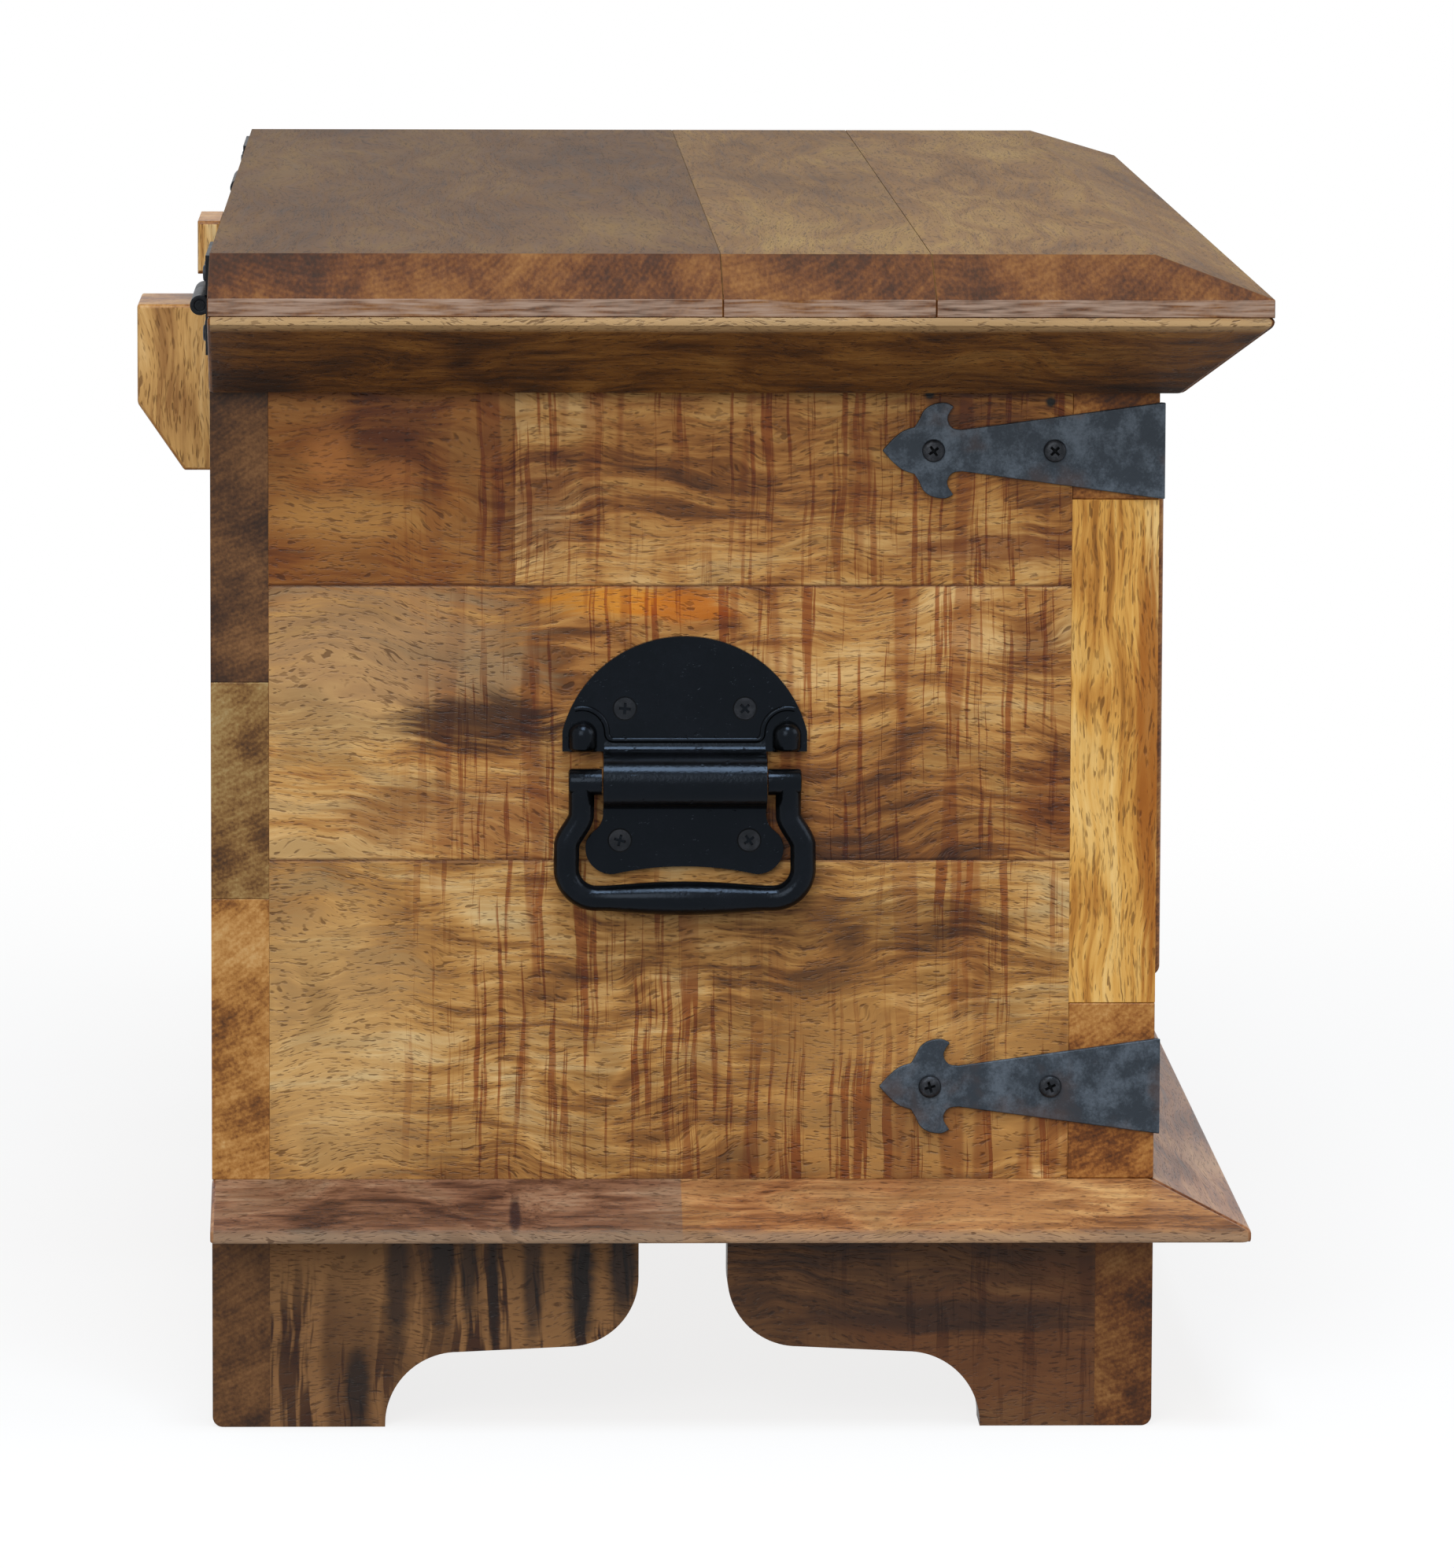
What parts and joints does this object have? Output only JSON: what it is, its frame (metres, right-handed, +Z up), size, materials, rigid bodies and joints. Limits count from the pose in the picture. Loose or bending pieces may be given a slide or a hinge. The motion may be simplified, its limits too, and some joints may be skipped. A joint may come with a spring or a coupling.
{
  "type": "storage chest",
  "caption": "Rustic solid-wood storage chest with a bevelled hinged lid, raised front panels, plank ends, moulded plinth on bracket feet, iron corner straps and drop handles.",
  "frame": {"origin": "on the floor, under the middle of the chest's outline seen from above", "axes": "+X along the chest, -Y out of its front, +Z up"},
  "size_m": [0.9, 0.433, 0.45],
  "materials": {
    "lid_wood": "satin lacquer",
    "case_wood": "satin lacquer",
    "base_wood": "satin lacquer",
    "inner_wood": "bare sawn wood",
    "black_iron": "satin black",
    "strap_iron": "blackened",
    "hinge_steel": "black",
    "screw_steel": "black"
  },
  "bodies": {
    "case": {"back_bottom_plank": "case_wood", "back_middle_plank": "case_wood", "back_top_plank": "case_wood", "bottom_bearer": "inner_wood", "bottom_panel": "inner_wood", "case_stop": "case_wood", "foot_back_left_back": "base_wood", "foot_back_left_end": "base_wood", "foot_back_right_back": "base_wood", "foot_back_right_end": "base_wood", "foot_front_left_end": "base_wood", "foot_front_left_front": "base_wood", "foot_front_right_end": "base_wood", "foot_front_right_front": "base_wood", "foot_glue_blocks": "inner_wood", "front_bottom_rail": "case_wood", "front_muntin_left": "case_wood", "front_muntin_right": "case_wood", "front_panel_left": "case_wood", "front_panel_middle": "case_wood", "front_panel_right": "case_wood", "front_stile_left": "case_wood", "front_stile_right": "case_wood", "front_top_rail": "case_wood", "handle_plate_left": "black_iron", "handle_plate_right": "black_iron", "hinge_case_leaf_left": "hinge_steel", "hinge_case_leaf_right": "hinge_steel", "hinge_pins": "hinge_steel", "left_end_bottom_plank": "case_wood", "left_end_middle_plank": "case_wood", "left_end_top_plank": "case_wood", "lower_strap_left": "strap_iron", "lower_strap_right": "strap_iron", "plinth_back": "inner_wood", "plinth_front": "base_wood", "plinth_left": "base_wood", "plinth_right": "base_wood", "right_end_bottom_plank": "case_wood", "right_end_middle_plank": "case_wood", "right_end_top_plank": "case_wood", "upper_strap_left": "strap_iron", "upper_strap_right": "strap_iron"},
    "lid": {"hinge_lid_leaf_left": "hinge_steel", "hinge_lid_leaf_right": "hinge_steel", "lid_back_board": "lid_wood", "lid_batten_left": "inner_wood", "lid_batten_right": "inner_wood", "lid_front_board": "lid_wood", "lid_middle_board": "lid_wood", "lid_stop": "lid_wood", "skirt_front": "lid_wood", "skirt_left": "lid_wood", "skirt_right": "lid_wood"},
    "left_bail": {"handle_bail_left": "black_iron"},
    "right_bail": {"handle_bail_right": "black_iron"}
  },
  "joints": [
    {"name": "lid_hinge", "type": "hinge", "parent": "case", "child": "lid", "pos_m": [0, 0.1876, 0.42885], "axis": [-1, 0, 0], "range_deg": [0, 109]},
    {"name": "left_bail_pivot", "type": "hinge", "parent": "case", "child": "left_bail", "pos_m": [-0.4184, 0.0035, 0.25], "axis": [0, 1, 0], "range_deg": [0, 90]},
    {"name": "right_bail_pivot", "type": "hinge", "parent": "case", "child": "right_bail", "pos_m": [0.4184, 0.0035, 0.25], "axis": [0, -1, 0], "range_deg": [0, 90]}
  ]
}
